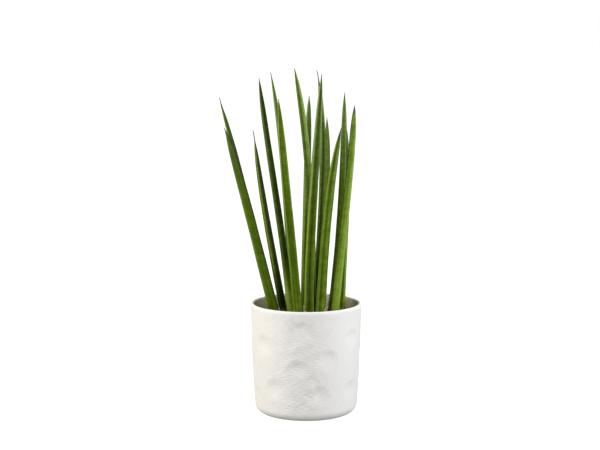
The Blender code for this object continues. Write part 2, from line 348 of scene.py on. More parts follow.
# %% [markdown]
# ## The pot
#
# The real pot is slip-cast: a rounded bottom edge, a wall that widens slowly, a plain lip with a round
# top, shallow round dimples and a finely wrinkled skin under a matt white glaze. A Screw modifier could
# turn the profile, but the dimples and the skin have to be pressed into the turned wall, so that the
# light catches real geometry. So the wall is worked out as one sheet of points. The profile runs from
# the middle of the underside, up the outside, over the lip and down the inside.

# %% The pot's profile
POT_HEIGHT, RIM_RADIUS = POT_HIGH.z, POT_HIGH.x
BASE_RADIUS = 0.0627
EDGE_ROUND = 0.0115
LIP_HEIGHT, LIP_FLARE = 0.0040, 0.0003
LIP_BLEND = 0.018           # height over which the wall eases out to the lip
RIM_WALL, WALL = 0.0040, 0.0052
FLOOR, FLOOR_ROUND = 0.008, 0.010


def wall_radius(height):
    """Outside of the plain wall: from the bottom edge, a sine that flattens out just below the lip."""
    share = np.clip((height - EDGE_ROUND) / (POT_HEIGHT - LIP_HEIGHT - EDGE_ROUND), 0, 1)
    under_lip = RIM_RADIUS - LIP_FLARE
    return BASE_RADIUS + (under_lip - BASE_RADIUS) * np.sin(share * np.pi / 2) ** 0.9


def inner_radius(height):
    """Inside of the wall, which thickens downwards from the rim."""
    share = np.clip((POT_HEIGHT - height) / (POT_HEIGHT * 0.35), 0, 1)
    return wall_radius(height) + LIP_FLARE * (1 - share) - (RIM_WALL + (WALL - RIM_WALL) * share)


def pot_profile():
    """Points (radius, height) of the whole section: flat base, quarter circle, wall, lip with a round top,
    inner wall, inner quarter circle and floor."""
    flat_edge = BASE_RADIUS - EDGE_ROUND
    base = np.stack([np.linspace(0.10, 0.98, 5) * flat_edge, np.zeros(5)], axis=1)
    turn = np.linspace(-np.pi / 2, 0, 13)
    corner = np.stack([flat_edge + EDGE_ROUND * np.cos(turn),
                       EDGE_ROUND + EDGE_ROUND * np.sin(turn)], axis=1)
    lip_foot = POT_HEIGHT - LIP_BLEND
    heights = np.linspace(EDGE_ROUND, lip_foot, 136)[1:]
    wall = np.stack([wall_radius(heights), heights], axis=1)
    half = RIM_WALL / 2
    rise = np.linspace(0, 1, 16)[1:]
    flare = np.stack([wall_radius(lip_foot) + (RIM_RADIUS - wall_radius(lip_foot)) * ease(0, 0.9, rise),
                      lip_foot + (POT_HEIGHT - half - lip_foot) * rise], axis=1)
    over = np.linspace(0, np.pi, 15)[1:]
    top = np.stack([RIM_RADIUS - half + half * np.cos(over),
                    POT_HEIGHT - half + half * np.sin(over)], axis=1)
    inner_heights = np.linspace(POT_HEIGHT - half, FLOOR + FLOOR_ROUND, 20)[1:]
    inner = np.stack([inner_radius(inner_heights), inner_heights], axis=1)
    floor_edge = inner_radius(FLOOR + FLOOR_ROUND) - FLOOR_ROUND
    back = np.linspace(0, -np.pi / 2, 6)[1:]
    foot = np.stack([floor_edge + FLOOR_ROUND * np.cos(back),
                     FLOOR + FLOOR_ROUND + FLOOR_ROUND * np.sin(back)], axis=1)
    return np.concatenate([base, corner, wall, flare, top, inner, foot])


profile = pot_profile()
print(f"pot section: {len(profile)} points, {profile[:, 0].max():.4f} m from the middle at most")

# %% [markdown]
# The dimples look pressed in with a thumb before the clay was fired: round, steeper above than below,
# and shallower round the sides of the pot. Each is a smooth hollow, and where two meet their depths add
# up.

# %% The dimples
# Degrees from the front towards +X, height and radius in millimetres
DIMPLES = np.array([
    (-50, 88, 17), (-6, 108, 17), (22, 74, 16), (56, 96, 16), (-9, 62, 16), (-36, 36, 17), (14, 31, 16),
    (57, 32, 16), (88, 64, 16), (97, 104, 15), (101, 25, 14), (128, 82, 17), (136, 39, 16), (160, 105, 15),
    (168, 66, 16), (177, 28, 16), (-158, 90, 17), (-145, 47, 16), (-124, 103, 15), (-116, 68, 16),
    (-106, 29, 16), (-88, 98, 16), (-78, 58, 15), (-68, 24, 13), (6, 48, 10),
])
DIMPLE_DEPTH = 0.0019
DIMPLE_RISE = 0.30          # how far the deepest point is moved up, as a share of the radius


def dimple_relief(angle, height):
    """Depth of the dimples over the wall: each is (1 - d^2)^2 deep, d being the distance to its middle as a
    share of its radius. The deepest point is moved up, which makes the upper slope steeper. Small dimples
    and those far from the front and the back are shallower."""
    away = angle[..., None] - np.radians(DIMPLES[:, 0] - 90)
    away = (away + np.pi) % (2 * np.pi) - np.pi
    size = DIMPLES[:, 2] * MM
    across, up = away * BASE_RADIUS / size, (height[..., None] - DIMPLES[:, 1] * MM) / size
    up = up - DIMPLE_RISE * np.clip(1 - across ** 2 - up ** 2, 0, 1)
    depth = DIMPLE_DEPTH * (DIMPLES[:, 2] / DIMPLES[:, 2].max()) ** 2
    depth = depth * (0.55 + 0.45 * np.cos(np.radians(DIMPLES[:, 0])) ** 2)
    return (depth * np.clip(1 - across ** 2 - up ** 2, 0, 1) ** 2).sum(axis=-1)


print(len(DIMPLES), "dimples")

# %% [markdown]
# The glaze is matt and nearly white. It is painted a little greyer in the hollows of the wrinkles and paler
# on their crests, as painted shade and light. The relief that was pressed into the wall is stored on its
# points, so the colour follows it exactly. The top of the lip is painted whiter, a painted highlight. The
# inside is bare clay with greenish stains, painted dark olive as painted shade inside the pot. It is
# painted darker further down, partly damp near the soil and partly painted shade, and paler at the back,
# a painted light where the front light reaches it.

# %% The pot's finish
def ceramic_finish():
    paint = Finish("matte_ceramic_glaze", specular_ior_level=0.35)
    place = paint.place()
    relief = paint.value("relief")
    inside = paint.value("inside")
    cloud = paint.noise(place, 45.0, 4.0)
    speck = paint.step(paint.noise(place, 900.0, 2.0), 0.69, 0.76)
    # Painted shade and light: the glaze is greyer in the hollows of the wrinkles and paler on their crests.
    glaze = paint.mix(paint.step(relief, -1.6, 1.6), (0.775, 0.765, 0.75), (0.835, 0.825, 0.805))
    glaze = paint.mix(cloud * 0.25, glaze, (0.85, 0.83, 0.79))
    glaze = paint.mix(speck * 0.18, glaze, (0.50, 0.44, 0.36))
    # Painted highlight: the top few millimetres of the lip are painted whiter.
    glaze = paint.mix(paint.value("lip"), glaze, (0.87, 0.865, 0.84))
    # Painted shade inside the pot: the clay is dark olive, and darker from 10 to 26 mm below the rim,
    # partly damp near the soil and partly painted shade.
    damp = paint.step(paint.value("depth") + cloud * 0.010, 0.010, 0.026)
    clay = paint.mix(damp, (0.38, 0.36, 0.25), (0.20, 0.175, 0.105))
    # Painted light: the back of the inside is painted pale, where the front light reaches it.
    clay = paint.mix(paint.value("back"), clay, (0.93, 0.90, 0.80))
    stain = paint.step(paint.noise(paint.place(stretch=(1, 1, 2.5)), 230.0, 5.0, 0.65), 0.42, 0.62)
    clay = paint.mix(stain * 0.75, clay, (0.22, 0.20, 0.11))
    colour = paint.mix(inside, glaze, clay)
    peel = paint.noise(place, 1100.0, 3.0, 0.6)
    pores = paint.noise(place, 2600.0, 2.0)
    normal = paint.bump(peel, 0.00006, 0.5, paint.bump(pores, 0.00004, 0.5))
    rough = 0.62 + 0.12 * cloud + inside * 0.15
    return paint.feed(base_color=colour, roughness=rough, normal=normal)


# %% [markdown]
# The skin's wrinkles are two sheets of grain: fine ones drawn out sideways, and a slow wavering of the
# whole wall. They are strongest in a band just left of the front and weakest round the sides. `outward`
# is the direction square to the profile, along which every point is pushed.

# %% The pot's relief
POT_COLUMNS = 480
SKIN_ROWS = 256
PEEL_DEPTH, WAVER_DEPTH = 0.00008, 0.00012
BAND_MIDDLE = -8            # degrees from the front towards +X
rows = len(profile)
angle = np.broadcast_to(np.linspace(0, 2 * np.pi, POT_COLUMNS, endpoint=False), (rows, POT_COLUMNS))
radius = np.broadcast_to(profile[:, :1], angle.shape)
height = np.broadcast_to(profile[:, 1:], angle.shape)
slope = np.gradient(profile, axis=0)
outward = np.stack([slope[:, 1], -slope[:, 0]], axis=1) / np.linalg.norm(slope, axis=1, keepdims=True)
run = np.concatenate([[0], np.cumsum(np.linalg.norm(np.diff(profile, axis=0), axis=1))])
lip_start = np.argmax(profile[:, 1])
on_wall = ease(0.001, 0.008, profile[:, 1]) * ease(0, 0.006, POT_HEIGHT - 0.002 - profile[:, 1])
on_wall = np.where(np.arange(rows) < lip_start, on_wall, 0.0)[:, None]
skin_size = (POT_HEIGHT + 2 * EDGE_ROUND, 2 * np.pi * BASE_RADIUS)
skin_row = (run / skin_size[0] * SKIN_ROWS).astype(int) % SKIN_ROWS
peel = grain((SKIN_ROWS, POT_COLUMNS), skin_size, 0.0022, 0.0040, 3.4, 7)[skin_row]
waver = grain((SKIN_ROWS, POT_COLUMNS), skin_size, 0.012, 0.030, 1.0, 11)[skin_row]
aside = (np.degrees(angle) + 90 - BAND_MIDDLE + 180) % 360 - 180
wrinkled = 0.18 + 0.95 * np.exp(-(aside / 24) ** 2) + 0.45 * np.exp(-((np.abs(aside) - 150) / 35) ** 2)
dimpled = dimple_relief(angle, height)
push = -dimpled * on_wall
push = push + wrinkled * (PEEL_DEPTH * peel + WAVER_DEPTH * waver) * on_wall
reach = np.minimum(radius + push * outward[:, :1], RIM_RADIUS)
pot_points = np.stack([reach * np.cos(angle), reach * np.sin(angle),
                       height + push * outward[:, 1:]], axis=-1)
print(f"deepest dimple {dimpled.max() / MM:.2f} mm")

# %% Make the pot
past_lip = np.where(np.arange(rows) >= lip_start, ease(0.0002, 0.0035, run - run[lip_start]), 0.0)
inside = np.broadcast_to(past_lip[:, None], angle.shape)
depth = np.broadcast_to((POT_HEIGHT - profile[:, 1:]) * (past_lip[:, None] > 0), angle.shape)
# lip: where the lip's painted highlight is laid, the top 2 to 5 mm of the outside.
lip = ease(0.0050, 0.0020, POT_HEIGHT - profile[:, 1:]) * (1 - past_lip[:, None])
lip = np.broadcast_to(lip, angle.shape)
# back: where the painted light on the back of the inside is laid.
back = ease(44, 26, np.abs((np.degrees(angle) - 90 + 180) % 360 - 180))
marks = {"relief": wrinkled * peel * on_wall, "inside": inside, "depth": depth, "lip": lip, "back": back}
pot = add_tube("pot", pot_points, ceramic_finish(), marks, ends=((0, 0, 0), (0, 0, FLOOR)))
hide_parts("ceramic_pot")
print(f"pot: {rows} rows of {POT_COLUMNS} points")

# %% [markdown]
# ## The leaves
#
# Each leaf is a spear: nearly round, slowly thinner upwards, then drawn to a point that ends in a dry
# thread. The outline is a circle with a groove up the side that faced the middle when the leaf unrolled,
# and with low ribs. The route is the one that the construction model uses: a straight line with one bow
# and an S. Both are formulas of the height, so every leaf is one call with its own numbers.

# %% Sizes of the leaves
# Root x and y, tip x, y and z, bow, swerve, thickness and length of the point, in millimetres
LEAVES = {
    "leaf_01": (-33.0, 6.0, -106.0, 24.0, 383.5, 0.0, -1.3, 10.3, 34),
    "leaf_02": (-33.0, -8.0, -96.2, -28.0, 349.5, 1.3, -0.4, 13.4, 22),
    "leaf_03": (-24.0, 12.0, -64.0, 18.0, 344.0, -2.2, 0.4, 9.9, 32),
    "leaf_04": (-17.0, 4.0, -56.4, -4.0, 407.5, 1.7, 1.0, 9.5, 21),
    "leaf_05": (-11.5, 20.0, -43.3, 35.0, 413.5, 2.9, -1.6, 9.1, 30),
    "leaf_06": (-8.5, -7.0, -32.9, -20.0, 383.5, 0.1, 0.4, 11.7, 25),
    "leaf_07": (8.0, 1.0, -14.1, -12.0, 420.0, 7.8, -1.2, 10.2, 20),
    "leaf_08": (-2.0, 12.0, 3.8, 28.0, 385.0, -0.4, 0.0, 10.5, 17),
    "leaf_09": (11.7, 20.0, 13.6, 22.0, 416.5, 6.9, -1.8, 9.7, 26),
    "leaf_10": (4.0, -18.0, 18.3, -24.0, 413.0, -3.3, -0.9, 11.9, 30),
    "leaf_11": (17.0, 8.0, 25.2, 12.0, 360.0, 2.0, -0.6, 10.1, 19),
    "leaf_12": (16.2, -12.0, 41.2, -30.0, 349.5, -4.8, 0.7, 12.6, 24),
    "leaf_13": (28.8, 10.0, 46.4, 16.0, 390.0, 4.8, 0.2, 9.9, 23),
    "leaf_14": (33.4, -8.0, 57.3, -22.0, 376.5, 1.1, -0.9, 10.5, 15),
    "leaf_15": (42.9, 20.0, 49.3, 32.0, 348.0, 2.0, -1.0, 10.1, 22),
}
# Dry length at the tip in millimetres, hook at the tip in millimetres towards +X, how far the last 2 cm
# shrivel, how much painted shade darkens the foot (below zero, painted light brightens it), how strong the
# bloom near the top is, and how pale the skin is, from 0, nearly black, to 1, pale yellow green: at the
# left edge, left, middle, right and right edge of the front. The five paleness values are partly each
# leaf's own streaks and partly painted light and shade: pale edges where the soft boxes catch them and
# dark sides where the other leaves shade them
LEAF_LOOKS = {
    "leaf_01": (15, 0.7, 0.10, 0.00, 0.35, (1.05, 0.87, 0.65, 0.48, 0.25)),
    "leaf_02": (6, -1.0, 0.00, 0.00, 0.75, (0.85, 0.62, 0.60, 0.66, 0.05)),
    "leaf_03": (12, -0.6, 0.42, 0.45, 0.30, (0.98, 1.02, 0.40, -0.05, -0.10)),
    "leaf_04": (9, 0.0, 0.00, -0.60, 0.60, (0.65, 0.45, 0.37, 0.42, 0.42)),
    "leaf_05": (8, 0.0, 0.00, -0.80, 0.70, (0.85, 0.75, 0.55, 0.88, 0.90)),
    "leaf_06": (5, 0.0, 0.00, -0.15, 0.10, (1.25, 0.68, 0.80, 0.74, 0.70)),
    "leaf_07": (5, 0.0, 0.00, 0.65, 0.50, (0.90, 0.58, 0.92, 1.00, 0.72)),
    "leaf_08": (4, 0.0, 0.00, -0.50, 0.90, (1.00, 0.82, 0.76, 0.97, 0.65)),
    "leaf_09": (20, -0.9, 0.45, 0.70, 0.70, (1.03, 0.90, 0.76, 0.92, 1.05)),
    "leaf_10": (7, 0.0, 0.00, 0.10, 0.90, (1.25, 0.86, 0.22, 0.74, 1.10)),
    "leaf_11": (9, 0.0, 0.00, 0.80, 0.60, (0.68, 0.82, 0.72, 0.80, 0.75)),
    "leaf_12": (12, 0.0, 0.00, -0.10, 0.45, (1.45, 0.64, 0.76, 0.80, 0.74)),
    "leaf_13": (8, 0.5, 0.00, -0.05, 0.80, (1.00, 0.70, 0.60, 0.80, 0.80)),
    "leaf_14": (10, 0.0, 0.00, -0.12, 0.15, (0.60, 0.74, 0.86, 1.05, 1.08)),
    "leaf_15": (14, 0.0, 0.00, 0.00, 0.40, (0.80, 0.85, 0.62, 0.80, 0.90)),
}
SHADE_PLACES = (-0.92, -0.60, 0.0, 0.60, 0.92)
ROOT_HEIGHT = 0.102
SWERVE_SCALE = 10.4
TIP_SLIMNESS = 0.75
THREAD_RADIUS = 0.00060


def leaf_middle(leaf, height):
    """The leaf's middle line: root to tip in a straight line, plus 4 bow t(1-t) and a cubic
    t(1-t)(1-2t)."""
    root_x, root_y, tip_x, tip_y, tip_z, bow, swerve = [v * MM for v in LEAVES[leaf][:7]]
    t = (height - ROOT_HEIGHT) / (tip_z - ROOT_HEIGHT)
    x = root_x + (tip_x - root_x) * t + 4 * bow * t * (1 - t)
    x = x + SWERVE_SCALE * swerve * t * (1 - t) * (1 - 2 * t)
    return x, root_y + (tip_y - root_y) * t


def leaf_radius(leaf, height):
    """Half the thickness: slims steadily upwards, then falls off as 1 - exp(-way to the tip / point)."""
    tip_z, thickness, point = (LEAVES[leaf][i] * MM for i in (4, 7, 8))
    left = np.maximum(tip_z - height, 0)
    slim = TIP_SLIMNESS + (1 - TIP_SLIMNESS) * left / (tip_z - ROOT_HEIGHT)
    return thickness / 2 * slim * (1 - np.exp(-left / point))


thickest = max(LEAVES, key=lambda leaf: LEAVES[leaf][7])
print(f"{thickest} is the thickest, {LEAVES[thickest][7]} mm at its foot")

# %% [markdown]
# The skin is a waxy green, streaked lengthwise: each leaf has its own dark and pale streaks, which
# follow the low ribs. Across the front each leaf's paleness is also painted light and shade: pale edges
# where the soft boxes catch them, dark sides and a dark groove where shade falls, and painted shade and
# light at the foot. Faint paler bands cross it. Near the soil it is paler, higher up a waxy bloom greys
# it, partly real wax and partly a painted sheen, and the tip dries to a greyish brown. The leaves lean and
# bow, so the noise is read from `straight`, the place that each point would have on a leaf that stood
# upright. That keeps the streaks in line with the leaf.

# %% The leaf skin
def leaf_finish():
    paint = Finish("leaf_skin", specular_ior_level=0.20, specular_tint=(0.72, 1.0, 0.50, 1.0))
    bands = paint.noise(paint.place("straight", (30, 30, 120)), 1.0, 2.0, 0.6)
    hatch = paint.noise(paint.place("straight", (190, 190, 460)), 1.0, 2.0, 0.6)
    lines = paint.noise(paint.place("straight", (800, 800, 9)), 1.0, 2.0, 0.5)
    patch = paint.noise(paint.place("straight", (90, 90, 22)), 1.0, 2.0, 0.5)
    shade = paint.value("shade") + 0.55 * (lines - 0.5) + 0.30 * (bands - 0.5) + 0.30 * (hatch - 0.5)
    shade = shade + 0.30 * (patch - 0.5)
    fresh = ((0.0, (0.005, 0.008, 0.001)), (0.35, (0.020, 0.034, 0.0010)), (0.75, (0.079, 0.142, 0.0020)),
             (1.0, (0.225, 0.335, 0.034)))
    # The waxy tones have more blue and grey in the pale ones: partly real wax bloom, partly a painted sheen
    # of the cool soft box.
    waxy = ((0.0, (0.006, 0.009, 0.003)), (0.35, (0.021, 0.035, 0.0045)), (0.75, (0.083, 0.141, 0.0170)),
            (1.0, (0.240, 0.330, 0.120)))
    skins = [paint.node("ShaderNodeValToRGB", {"stops": stops}, {"Fac": shade}) for stops in (fresh, waxy)]
    # bloom mixes in the waxy tones, real wax bloom and painted sheen together.
    skin = paint.mix(paint.value("bloom"), *skins)
    skin = paint.mix(paint.value("foot") * 0.45, skin, (0.21, 0.245, 0.07))
    dry = paint.value("dry") + 0.5 * (paint.noise(paint.place("straight"), 700.0, 3.0) - 0.5)
    ragged = paint.step(dry, 0.30, 0.65)
    husk = paint.mix(paint.step(patch, 0.40, 0.60), (0.042, 0.040, 0.026), (0.100, 0.088, 0.066))
    skin = paint.mix(ragged * 0.9, skin, husk)
    rough = 0.30 + 0.14 * hatch + 0.30 * ragged
    fine = paint.bump(lines, 0.00010, 0.5, paint.bump(hatch, 0.00008, 0.4))
    return paint.feed(base_color=skin, roughness=rough, normal=fine)


leaf_skin = leaf_finish()
print(len(leaf_skin.node_tree.nodes), "nodes in the leaf skin")

# %% [markdown]
# The relief round a leaf is a sum of a few waves, less a bell-shaped groove with a raised lip on either
# side. All of it fades out towards the tip, which is round.

# %% The leaf's relief
LEAF_COLUMNS, LEAF_ROWS = 66, 200
RIB_HEIGHT, LIP_SHARE, GROOVE_DEPTH = 0.026, 0.04, 0.16     # as shares of the leaf's radius
GROOVE_WIDTH, LIP_PLACE, LIP_WIDTH = 0.42, 0.90, 0.22       # in radians


def leaf_relief(draw, away):
    """Ribs, lips and groove at every angle away from the groove. The ribs are a sum of waves that go 2 to 9
    times round the leaf, with random heights and phases, brought to a spread of one. The lips and the
    groove are bell curves."""
    waves = np.arange(2, 10)[:, None, None]
    heights, phases = draw.normal(0, 1, waves.shape), draw.random(waves.shape) * 2 * np.pi
    ribs = (heights / waves ** 0.3 * np.cos(waves * away + phases)).sum(axis=0)
    lips = np.exp(-((np.abs(away) - LIP_PLACE) / LIP_WIDTH) ** 2)
    return ribs / ribs.std(), lips, np.exp(-(away / GROOVE_WIDTH) ** 2)


# %% Make the leaves
HOOK_LENGTH = 0.014
SHRIVEL_PLACE, SHRIVEL_SPREAD = 0.012, 0.011    # below the tip
BLUNT_END = 0.0008
PATTERN_STEP = 0.731        # shifts each leaf to its own stretch of the noise


def make_leaf(number, leaf):
    """A closed tube of level rings: circles with the relief round them, whose groove faces the plant's
    middle. Every ring is then scaled and centred so that it is as wide from the front as the leaf is
    thick."""
    draw = np.random.default_rng(100 + number)
    root_x, root_y, tip_z = LEAVES[leaf][0], LEAVES[leaf][1], LEAVES[leaf][4] * MM
    dry_length, hook, shrivel, painted_foot_shading, bloom, shades = LEAF_LOOKS[leaf]
    dry_length = dry_length * MM
    height = (tip_z - (tip_z - ROOT_HEIGHT) * (1 - np.linspace(0, 1, LEAF_ROWS)) ** 1.35)[:, None]
    along = tip_z - height
    x, y = leaf_middle(leaf, height)
    x = x + hook * MM * np.clip(1 - along / HOOK_LENGTH, 0, 1) ** 2
    blunt = np.sqrt(np.clip(1 - (1 - along / BLUNT_END) ** 2, 0.06, 1))
    blunt = blunt * (along < BLUNT_END) + (along >= BLUNT_END)
    thin = 1 - shrivel * np.exp(-((along - SHRIVEL_PLACE) / SHRIVEL_SPREAD) ** 2)
    thread = THREAD_RADIUS * (0.75 + 0.25 * ease(0, 0.006, along)) * blunt
    radius = np.maximum(leaf_radius(leaf, height) * thin, thread)
    swelling = grain((LEAF_ROWS, 8), (tip_z - ROOT_HEIGHT, 0.03), 0.03, 0.09, 0.3, number)[:, :1]
    radius = radius * (1 + 0.010 * swelling)
    turn = np.linspace(0, 2 * np.pi, LEAF_COLUMNS, endpoint=False)[None, :]
    twist = draw.normal(0, 0.25) * (height - ROOT_HEIGHT) / 0.3
    away = (turn - math.atan2(-root_y, -root_x) - twist + np.pi) % (2 * np.pi) - np.pi
    body = ease(0.001, 0.030, along)
    ribs, lips, groove = leaf_relief(draw, away)
    outline = radius * (1 + body * (RIB_HEIGHT * ribs + LIP_SHARE * lips - GROOVE_DEPTH * groove))
    side = outline * np.cos(turn)
    left, right = side.min(axis=1, keepdims=True), side.max(axis=1, keepdims=True)
    fit = 2 * radius / (right - left)
    x = x - fit * (left + right) / 2
    points = np.stack([x + fit * side, y + fit * outline * np.sin(turn), height + 0 * side], axis=-1)
    # Painted light and shade across the leaf: the five tones are tied to left and right as seen from the
    # front, and the groove is painted darker where shade falls in it. The lips and rib crests are paler,
    # partly the leaf's own streaks.
    shade = np.interp(np.cos(turn - twist), SHADE_PLACES, shades)
    # Painted shade at the foot, where little light reaches between the leaves. Below zero it is painted
    # light.
    shade = shade + 0.075 * ribs + 0.08 * lips - 0.10 * groove - painted_foot_shading * (1 - ease(0.130, 0.200, height))
    girth = LEAVES[leaf][7] * MM / 2
    whole = np.ones_like(outline)
    below_tip = (along + number * PATTERN_STEP) * whole
    values = {
        "straight": np.stack([girth * np.cos(away), girth * np.sin(away), below_tip], axis=-1),
        "shade": shade,
        "foot": (1 - ease(0.002, 0.012, height - SOIL_HIGH.z)) * whole,
        "bloom": bloom * ease(0.22, 0.36, height) * whole,
        "dry": (1 - ease(0.4 * dry_length, 1.5 * dry_length, along)) * whole,
    }
    ends = [(float(x[row, 0]), float(y[row, 0]), float(height[row, 0])) for row in (0, -1)]
    piece = add_tube(leaf + "_spear", points[:-1], leaf_skin, {k: v[:-1] for k, v in values.items()}, ends)
    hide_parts(leaf)
    return piece


for number, leaf in enumerate(LEAVES):
    make_leaf(number, leaf)
print(f"{len(LEAVES)} leaves of {LEAF_ROWS} rings")

# %% [markdown]
# ## The soil
#
# Potting soil is dark, damp peat with lumps and bits of bark. Two finishes of one kind serve it, one for
# peat and one for bark, and every crumb's own number picks its brown.

# %% The soil's finishes
def soil_finish(name, low, high, rough):
    """Browns between two colours, picked by each crumb's own number and a fine noise."""
    paint = Finish(name, specular_ior_level=0.3)
    place = paint.place()
    pick = paint.value("shade") * 0.7 + paint.noise(place, 700.0, 4.0, 0.6) * 0.5 - 0.1
    colour = paint.mix(paint.step(pick, 0.1, 0.9), low, high)
    damp = paint.noise(place, 60.0, 2.0)
    normal = paint.bump(paint.noise(place, 1500.0, 4.0, 0.7), 0.0004, 0.9)
    return paint.feed(base_color=colour, roughness=rough - 0.18 * damp, normal=normal)


peat = soil_finish("peat", (0.010, 0.007, 0.004), (0.060, 0.036, 0.020), 0.95)
bark = soil_finish("bark", (0.050, 0.026, 0.012), (0.210, 0.115, 0.055), 0.85)
print(len(peat.node_tree.nodes), "nodes in each soil finish")

# %% [markdown]
# The root ball fills the pot to a low dome about 2 cm under the rim. It is one closed turned body whose
# top is roughened by random waves.

# %% Make the root ball
SOIL_COLUMNS = 200
SOIL_TOP_ROWS = 70
SOIL_SHEET, SOIL_CELLS = 0.16, 160
SOIL_EDGE = 0.1130
SOIL_CROWN = SOIL_HIGH.z - SOIL_EDGE
GAP = 0.0003
SOIL_RADIUS = float(inner_radius(np.array(SOIL_EDGE))) - GAP
soil_waves = grain((SOIL_CELLS, SOIL_CELLS), (SOIL_SHEET, SOIL_SHEET), 0.004, 0.022, 1.0, 21)


def soil_height(x, y):
    """The top of the soil: a low dome, a little sunk along the wall, with random lumps read from a square
    sheet of waves centred on the pot."""
    spread = np.hypot(x, y) / SOIL_RADIUS
    dome = SOIL_EDGE + SOIL_CROWN * (1 - spread ** 2)
    last = SOIL_CELLS - 1
    row = np.clip(((y / SOIL_SHEET + 0.5) * last).astype(int), 0, last)
    column = np.clip(((x / SOIL_SHEET + 0.5) * last).astype(int), 0, last)
    return dome - 0.0009 + 0.00045 * np.clip(soil_waves[row, column], -2, 2)


side_heights = np.array([SOIL_LOW.z, SOIL_LOW.z + 0.001, 0.018, 0.040, 0.070, 0.095, SOIL_EDGE - 0.003])
side_radii = inner_radius(np.maximum(side_heights, FLOOR + FLOOR_ROUND)) - GAP
side_radii[:2] = side_radii[2] - np.array([FLOOR_ROUND, 0.72 * FLOOR_ROUND])
turn = np.linspace(0, 2 * np.pi, SOIL_COLUMNS, endpoint=False)
top_radii = SOIL_RADIUS * np.linspace(1, 0.01, SOIL_TOP_ROWS)
all_radii = np.concatenate([side_radii, top_radii])[:, None]
x, y = all_radii * np.cos(turn), all_radii * np.sin(turn)
z = np.concatenate([np.broadcast_to(side_heights[:, None], (len(side_heights), SOIL_COLUMNS)),
                    soil_height(x[len(side_heights):], y[len(side_heights):])])
soil = add_tube("root_ball", np.stack([x, y, z], axis=-1), peat, {"shade": np.full(x.shape, 0.25)})
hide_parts("potting_soil")
print(f"root ball {2 * SOIL_RADIUS:.4f} m across at the top, {z.max():.4f} m high")

# %% [markdown]
# Crumbs and bark chips lie over the root ball. Geometry nodes could strew them, but thousands of copies
# are just as quick as array sums: one small stone of twenty faces, at every place with its own size,
# turn and shade.

# %% A small stone
def small_stone():
    """Points and triangles of an icosahedron."""
    stone = bmesh.new()
    bmesh.ops.create_icosphere(stone, subdivisions=1, radius=1.0)
    points = np.array([v.co for v in stone.verts])
    triangles = np.array([[v.index for v in f.verts] for f in stone.faces])
    stone.free()
    return points, triangles


print(len(small_stone()[1]), "faces on a stone")


# %% Strew crumbs and bark chips
def strew(name, count, size_low, size_high, shape, material, seed):
    """Copies of the small stone on the soil: random places in the pot clear of the leaves, more small sizes
    than large, each stone stretched by shape, roughened, pitched and turned."""
    draw = np.random.default_rng(seed)
    spread = (SOIL_RADIUS - size_high) * np.sqrt(draw.random(count))
    bearing = draw.random(count) * 2 * np.pi
    size = size_low * (size_high / size_low) ** (draw.random(count) ** 1.6)
    spot = np.stack([spread * np.cos(bearing), spread * np.sin(bearing)], axis=1)
    keep = np.ones(count, bool)
    for leaf in LEAVES:
        foot = leaf_middle(leaf, SOIL_HIGH.z)
        reach = leaf_radius(leaf, SOIL_HIGH.z) + 0.55 * size * max(shape)
        keep &= np.hypot(spot[:, 0] - foot[0], spot[:, 1] - foot[1]) > reach
    spot, size = spot[keep], size[keep]
    count = len(size)
    stone, triangles = small_stone()
    lumps = stone[None] * (1 + 0.22 * draw.standard_normal((count, len(stone), 1)).clip(-1.5, 1.5))
    lumps = lumps * np.array(shape) * size[:, None, None]
    yaw, pitch = draw.random(count) * 2 * np.pi, draw.normal(0, 0.35, count)
    c, s = np.cos(pitch)[:, None], np.sin(pitch)[:, None]
    px, pz = lumps[..., 0] * c - lumps[..., 2] * s, lumps[..., 0] * s + lumps[..., 2] * c
    c, s = np.cos(yaw)[:, None], np.sin(yaw)[:, None]
    wx, wy = px * c - lumps[..., 1] * s, px * s + lumps[..., 1] * c
    ground = soil_height(spot[:, 0], spot[:, 1])[:, None] + 0.15 * size[:, None] * shape[2]
    points = np.stack([wx + spot[:, :1], wy + spot[:, 1:], pz + ground], axis=-1)
    faces = (triangles[None] + (np.arange(count) * len(stone))[:, None, None]).reshape(-1, 3)
    shade = np.repeat(draw.random(count), len(stone))
    piece = add_piece(name, points, faces.tolist(), material, {"shade": shade}, smooth=False)
    print(f"{name}: {count} pieces, highest point {points[..., 2].max():.4f} m")
    return piece


strew("peat_crumbs", 5200, 0.0004, 0.0017, (1.0, 0.85, 0.75), peat, 31)
strew("bark_chips", 210, 0.0016, 0.0042, (1.0, 0.55, 0.28), bark, 32)

# %% [markdown]
# ## Rhizomes
#
# Under the soil every pair of leaves springs from a rhizome: a stout orange-brown stem ringed by the
# scars of old scales. It is a capsule with rings raised along it. Joining spheres to a cylinder would
# leave seams, so it is one tube whose radius follows the capsule.

# %% Make the rhizomes
def rhizome_finish():
    paint = Finish("rhizome_bark")
    place = paint.place()
    ring = paint.value("ring")
    patch = paint.noise(place, 300.0, 4.0)
    colour = paint.mix(patch, (0.50, 0.28, 0.09), (0.70, 0.50, 0.22))
    colour = paint.mix(paint.step(ring, 0.3, 0.9), colour, (0.22, 0.11, 0.045))
    normal = paint.bump(paint.noise(place, 1400.0, 3.0), 0.0002, 0.7)
    return paint.feed(base_color=colour, roughness=0.5 + 0.25 * patch, normal=normal)


